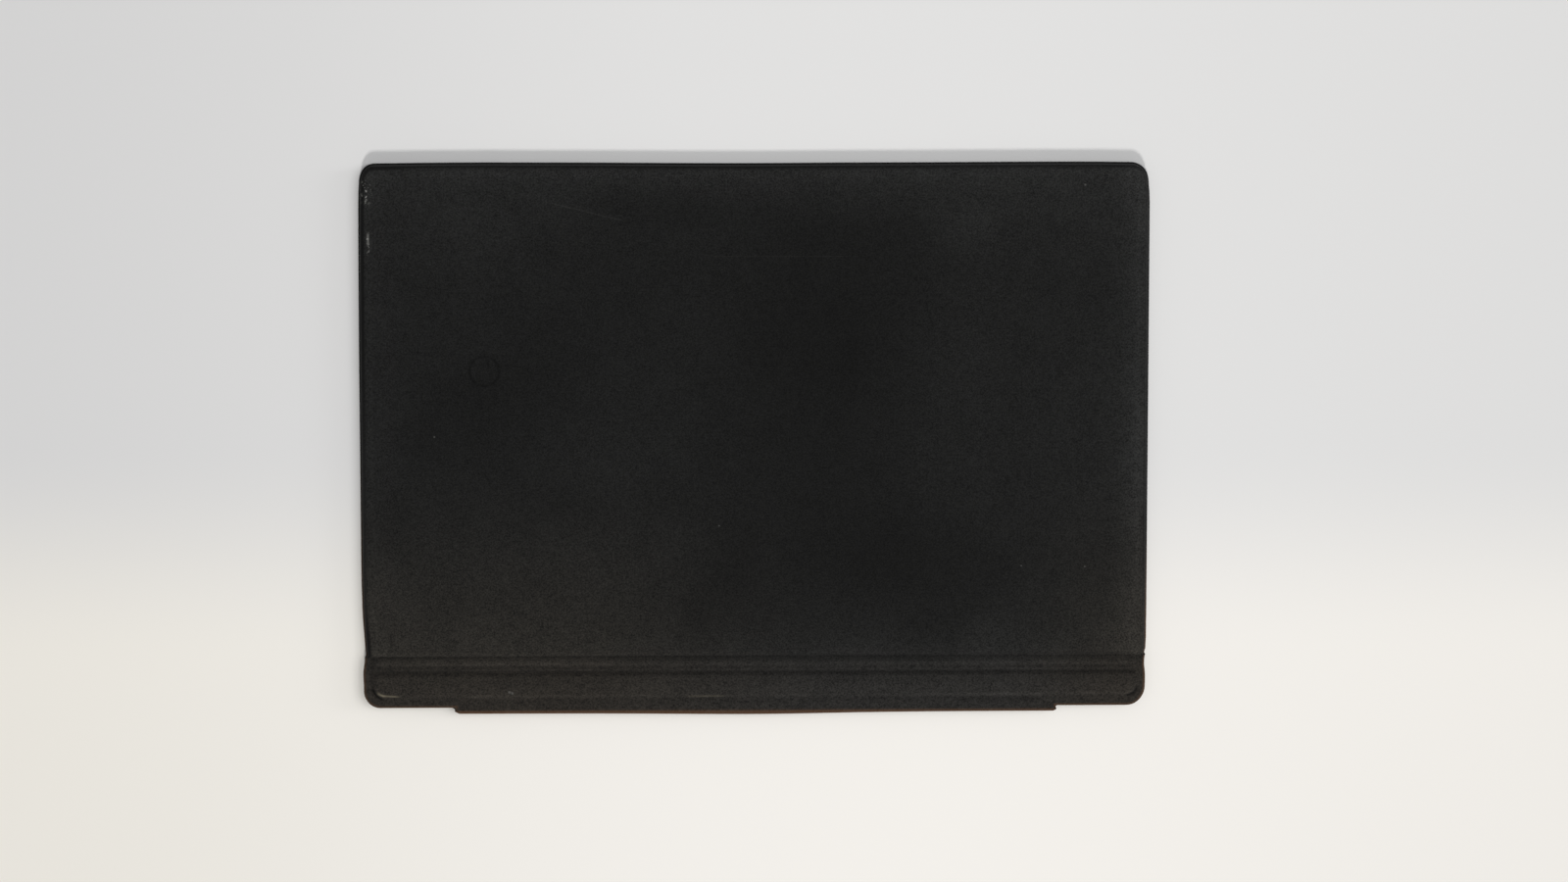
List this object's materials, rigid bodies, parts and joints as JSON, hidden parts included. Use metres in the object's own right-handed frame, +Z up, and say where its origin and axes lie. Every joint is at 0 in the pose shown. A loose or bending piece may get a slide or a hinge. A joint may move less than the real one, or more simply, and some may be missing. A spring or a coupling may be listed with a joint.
{
  "type": "tablet keyboard case",
  "caption": "Thin folding keyboard cover for a tablet, lying keys down, with a fabric-hinged magnetic flap and a connector spine folded under it.",
  "frame": {"origin": "middle of the footprint, on the surface that the case lies on, keys down", "axes": "+X along the folds, to the right as it lies back up with the spine near; +Y from the connector spine to the free edge; +Z up, out of the back"},
  "size_m": [0.295, 0.2056, 0.0049],
  "materials": {
    "back_microfibre": "worn short-nap microfibre bonded over the back",
    "palm_rest_microfibre": "short-nap microfibre on the keyboard side",
    "stiff_laminate": "glass-filled sheet",
    "frame_plastic": "moulded, satin",
    "key_web_plastic": "moulded, satin",
    "membrane_film": "printed polyester film",
    "steel_plate": "rolled sheet",
    "clear_film": "clear light-spreading film",
    "coated_glass": "glass with a dark matt coating, fine and smooth",
    "circuit_board": "solder-masked laminate",
    "ribbon_film": "flexible printed film",
    "nickel_magnet": "nickel-plated magnet",
    "spine_plastic": "moulded, satin",
    "plated_contact": "gold-plated contact",
    "link_plastic": "moulded nylon",
    "dome_rubber": "silicone rubber",
    "keycap_plastic": "moulded with a soft matt finish"
  },
  "bodies": {
    "panel": {"back_skin": "back_microfibre", "back_plate": "stiff_laminate", "front_skin": "palm_rest_microfibre", "core_frame": "frame_plastic", "key_web": "key_web_plastic", "switch_membrane": "membrane_film", "base_plate": "steel_plate", "light_guide": "clear_film", "rubber_domes": "dome_rubber", "scissor_links": "link_plastic", "main_board": "circuit_board", "clickpad_bracket": "steel_plate", "closure_magnets": "nickel_magnet", "ribbon_cable": "ribbon_film"},
    "clickpad": {"clickpad_glass": "coated_glass", "clickpad_board": "circuit_board"},
    "fold_band": {"fold_band": "back_microfibre"},
    "flap": {"flap_back_skin": "back_microfibre", "flap_front_skin": "palm_rest_microfibre", "flap_stiffener": "stiff_laminate", "flap_magnets": "nickel_magnet"},
    "turn_strip": {"turn_strip": "back_microfibre"},
    "spine": {"spine_cover": "back_microfibre", "spine_housing": "spine_plastic", "spine_magnets": "nickel_magnet", "contact_block": "spine_plastic", "contact_pins": "plated_contact"},
    "key_a": {"key_a": "keycap_plastic"},
    "key_b": {"key_b": "keycap_plastic"},
    "key_c": {"key_c": "keycap_plastic"},
    "key_d": {"key_d": "keycap_plastic"},
    "key_e": {"key_e": "keycap_plastic"},
    "key_f": {"key_f": "keycap_plastic"},
    "key_g": {"key_g": "keycap_plastic"},
    "key_h": {"key_h": "keycap_plastic"},
    "key_i": {"key_i": "keycap_plastic"},
    "key_j": {"key_j": "keycap_plastic"},
    "key_k": {"key_k": "keycap_plastic"},
    "key_l": {"key_l": "keycap_plastic"},
    "key_m": {"key_m": "keycap_plastic"},
    "key_n": {"key_n": "keycap_plastic"},
    "key_o": {"key_o": "keycap_plastic"},
    "key_p": {"key_p": "keycap_plastic"},
    "key_q": {"key_q": "keycap_plastic"},
    "key_r": {"key_r": "keycap_plastic"},
    "key_s": {"key_s": "keycap_plastic"},
    "key_t": {"key_t": "keycap_plastic"},
    "key_u": {"key_u": "keycap_plastic"},
    "key_v": {"key_v": "keycap_plastic"},
    "key_w": {"key_w": "keycap_plastic"},
    "key_x": {"key_x": "keycap_plastic"},
    "key_y": {"key_y": "keycap_plastic"},
    "key_z": {"key_z": "keycap_plastic"},
    "key_space": {"key_space": "keycap_plastic"},
    "key_enter": {"key_enter": "keycap_plastic"},
    "key_backspace": {"key_backspace": "keycap_plastic"},
    "function_row_keys": {"function_row_keys": "keycap_plastic"},
    "number_row_keys": {"number_row_keys": "keycap_plastic"},
    "symbol_keys": {"symbol_keys": "keycap_plastic"},
    "modifier_and_arrow_keys": {"modifier_and_arrow_keys": "keycap_plastic"}
  },
  "joints": [
    {"name": "cover_fold", "type": "hinge", "parent": "panel", "child": "fold_band", "pos_m": [0, -0.08207, 0.0044], "axis": [-1, 0, 0], "range_deg": [0, 80], "deforming": ["ribbon_cable"]},
    {"name": "cover_fold_outer", "type": "hinge", "parent": "fold_band", "child": "flap", "pos_m": [0, -0.08808, 0.0044], "axis": [-1, 0, 0], "range_deg": [0, 80]},
    {"name": "connector_fold", "type": "hinge", "parent": "flap", "child": "turn_strip", "pos_m": [0, -0.10232, 0.0039], "axis": [-1, 0, 0], "range_deg": [0, 135]},
    {"name": "connector_fold_outer", "type": "hinge", "parent": "turn_strip", "child": "spine", "pos_m": [0, -0.10232, 0.0005], "axis": [-1, 0, 0], "range_deg": [0, 135]},
    {"name": "clickpad_press", "type": "hinge", "parent": "panel", "child": "clickpad", "pos_m": [0, 0.04022, 0.00185], "axis": [1, 0, 0], "range_deg": [0, 0.35], "stiffness_Nm_per_rad": 4, "springref_deg": -0.57},
    {"name": "key_a_press", "type": "slide", "parent": "panel", "child": "key_a", "axis": [0, 0, 1], "range_m": [0, 0.0013], "stiffness_N_per_m": 300, "springref_m": -0.0005, "deforming": ["scissor_links", "rubber_domes"]},
    {"name": "key_b_press", "type": "slide", "parent": "panel", "child": "key_b", "axis": [0, 0, 1], "range_m": [0, 0.0013], "stiffness_N_per_m": 300, "springref_m": -0.0005, "deforming": ["scissor_links", "rubber_domes"]},
    {"name": "key_c_press", "type": "slide", "parent": "panel", "child": "key_c", "axis": [0, 0, 1], "range_m": [0, 0.0013], "stiffness_N_per_m": 300, "springref_m": -0.0005, "deforming": ["scissor_links", "rubber_domes"]},
    {"name": "key_d_press", "type": "slide", "parent": "panel", "child": "key_d", "axis": [0, 0, 1], "range_m": [0, 0.0013], "stiffness_N_per_m": 300, "springref_m": -0.0005, "deforming": ["scissor_links", "rubber_domes"]},
    {"name": "key_e_press", "type": "slide", "parent": "panel", "child": "key_e", "axis": [0, 0, 1], "range_m": [0, 0.0013], "stiffness_N_per_m": 300, "springref_m": -0.0005, "deforming": ["scissor_links", "rubber_domes"]},
    {"name": "key_f_press", "type": "slide", "parent": "panel", "child": "key_f", "axis": [0, 0, 1], "range_m": [0, 0.0013], "stiffness_N_per_m": 300, "springref_m": -0.0005, "deforming": ["scissor_links", "rubber_domes"]},
    {"name": "key_g_press", "type": "slide", "parent": "panel", "child": "key_g", "axis": [0, 0, 1], "range_m": [0, 0.0013], "stiffness_N_per_m": 300, "springref_m": -0.0005, "deforming": ["scissor_links", "rubber_domes"]},
    {"name": "key_h_press", "type": "slide", "parent": "panel", "child": "key_h", "axis": [0, 0, 1], "range_m": [0, 0.0013], "stiffness_N_per_m": 300, "springref_m": -0.0005, "deforming": ["scissor_links", "rubber_domes"]},
    {"name": "key_i_press", "type": "slide", "parent": "panel", "child": "key_i", "axis": [0, 0, 1], "range_m": [0, 0.0013], "stiffness_N_per_m": 300, "springref_m": -0.0005, "deforming": ["scissor_links", "rubber_domes"]},
    {"name": "key_j_press", "type": "slide", "parent": "panel", "child": "key_j", "axis": [0, 0, 1], "range_m": [0, 0.0013], "stiffness_N_per_m": 300, "springref_m": -0.0005, "deforming": ["scissor_links", "rubber_domes"]},
    {"name": "key_k_press", "type": "slide", "parent": "panel", "child": "key_k", "axis": [0, 0, 1], "range_m": [0, 0.0013], "stiffness_N_per_m": 300, "springref_m": -0.0005, "deforming": ["scissor_links", "rubber_domes"]},
    {"name": "key_l_press", "type": "slide", "parent": "panel", "child": "key_l", "axis": [0, 0, 1], "range_m": [0, 0.0013], "stiffness_N_per_m": 300, "springref_m": -0.0005, "deforming": ["scissor_links", "rubber_domes"]},
    {"name": "key_m_press", "type": "slide", "parent": "panel", "child": "key_m", "axis": [0, 0, 1], "range_m": [0, 0.0013], "stiffness_N_per_m": 300, "springref_m": -0.0005, "deforming": ["scissor_links", "rubber_domes"]},
    {"name": "key_n_press", "type": "slide", "parent": "panel", "child": "key_n", "axis": [0, 0, 1], "range_m": [0, 0.0013], "stiffness_N_per_m": 300, "springref_m": -0.0005, "deforming": ["scissor_links", "rubber_domes"]},
    {"name": "key_o_press", "type": "slide", "parent": "panel", "child": "key_o", "axis": [0, 0, 1], "range_m": [0, 0.0013], "stiffness_N_per_m": 300, "springref_m": -0.0005, "deforming": ["scissor_links", "rubber_domes"]},
    {"name": "key_p_press", "type": "slide", "parent": "panel", "child": "key_p", "axis": [0, 0, 1], "range_m": [0, 0.0013], "stiffness_N_per_m": 300, "springref_m": -0.0005, "deforming": ["scissor_links", "rubber_domes"]},
    {"name": "key_q_press", "type": "slide", "parent": "panel", "child": "key_q", "axis": [0, 0, 1], "range_m": [0, 0.0013], "stiffness_N_per_m": 300, "springref_m": -0.0005, "deforming": ["scissor_links", "rubber_domes"]},
    {"name": "key_r_press", "type": "slide", "parent": "panel", "child": "key_r", "axis": [0, 0, 1], "range_m": [0, 0.0013], "stiffness_N_per_m": 300, "springref_m": -0.0005, "deforming": ["scissor_links", "rubber_domes"]},
    {"name": "key_s_press", "type": "slide", "parent": "panel", "child": "key_s", "axis": [0, 0, 1], "range_m": [0, 0.0013], "stiffness_N_per_m": 300, "springref_m": -0.0005, "deforming": ["scissor_links", "rubber_domes"]},
    {"name": "key_t_press", "type": "slide", "parent": "panel", "child": "key_t", "axis": [0, 0, 1], "range_m": [0, 0.0013], "stiffness_N_per_m": 300, "springref_m": -0.0005, "deforming": ["scissor_links", "rubber_domes"]},
    {"name": "key_u_press", "type": "slide", "parent": "panel", "child": "key_u", "axis": [0, 0, 1], "range_m": [0, 0.0013], "stiffness_N_per_m": 300, "springref_m": -0.0005, "deforming": ["scissor_links", "rubber_domes"]},
    {"name": "key_v_press", "type": "slide", "parent": "panel", "child": "key_v", "axis": [0, 0, 1], "range_m": [0, 0.0013], "stiffness_N_per_m": 300, "springref_m": -0.0005, "deforming": ["scissor_links", "rubber_domes"]},
    {"name": "key_w_press", "type": "slide", "parent": "panel", "child": "key_w", "axis": [0, 0, 1], "range_m": [0, 0.0013], "stiffness_N_per_m": 300, "springref_m": -0.0005, "deforming": ["scissor_links", "rubber_domes"]},
    {"name": "key_x_press", "type": "slide", "parent": "panel", "child": "key_x", "axis": [0, 0, 1], "range_m": [0, 0.0013], "stiffness_N_per_m": 300, "springref_m": -0.0005, "deforming": ["scissor_links", "rubber_domes"]},
    {"name": "key_y_press", "type": "slide", "parent": "panel", "child": "key_y", "axis": [0, 0, 1], "range_m": [0, 0.0013], "stiffness_N_per_m": 300, "springref_m": -0.0005, "deforming": ["scissor_links", "rubber_domes"]},
    {"name": "key_z_press", "type": "slide", "parent": "panel", "child": "key_z", "axis": [0, 0, 1], "range_m": [0, 0.0013], "stiffness_N_per_m": 300, "springref_m": -0.0005, "deforming": ["scissor_links", "rubber_domes"]},
    {"name": "key_space_press", "type": "slide", "parent": "panel", "child": "key_space", "axis": [0, 0, 1], "range_m": [0, 0.0013], "stiffness_N_per_m": 300, "springref_m": -0.0005, "deforming": ["scissor_links", "rubber_domes"]},
    {"name": "key_enter_press", "type": "slide", "parent": "panel", "child": "key_enter", "axis": [0, 0, 1], "range_m": [0, 0.0013], "stiffness_N_per_m": 300, "springref_m": -0.0005, "deforming": ["scissor_links", "rubber_domes"]},
    {"name": "key_backspace_press", "type": "slide", "parent": "panel", "child": "key_backspace", "axis": [0, 0, 1], "range_m": [0, 0.0013], "stiffness_N_per_m": 300, "springref_m": -0.0005, "deforming": ["scissor_links", "rubber_domes"]},
    {"name": "function_row_press", "type": "slide", "parent": "panel", "child": "function_row_keys", "axis": [0, 0, 1], "range_m": [0, 0.0013], "stiffness_N_per_m": 300, "springref_m": -0.0005, "deforming": ["scissor_links", "rubber_domes"]},
    {"name": "number_row_press", "type": "slide", "parent": "panel", "child": "number_row_keys", "axis": [0, 0, 1], "range_m": [0, 0.0013], "stiffness_N_per_m": 300, "springref_m": -0.0005, "deforming": ["scissor_links", "rubber_domes"]},
    {"name": "symbol_press", "type": "slide", "parent": "panel", "child": "symbol_keys", "axis": [0, 0, 1], "range_m": [0, 0.0013], "stiffness_N_per_m": 300, "springref_m": -0.0005, "deforming": ["scissor_links", "rubber_domes"]},
    {"name": "modifier_and_arrow_press", "type": "slide", "parent": "panel", "child": "modifier_and_arrow_keys", "axis": [0, 0, 1], "range_m": [0, 0.0013], "stiffness_N_per_m": 300, "springref_m": -0.0005, "deforming": ["scissor_links", "rubber_domes"]}
  ],
  "couplings": [
    {"joint": "cover_fold_outer", "follows": "cover_fold", "ratio": 1},
    {"joint": "connector_fold_outer", "follows": "connector_fold", "ratio": 1}
  ]
}
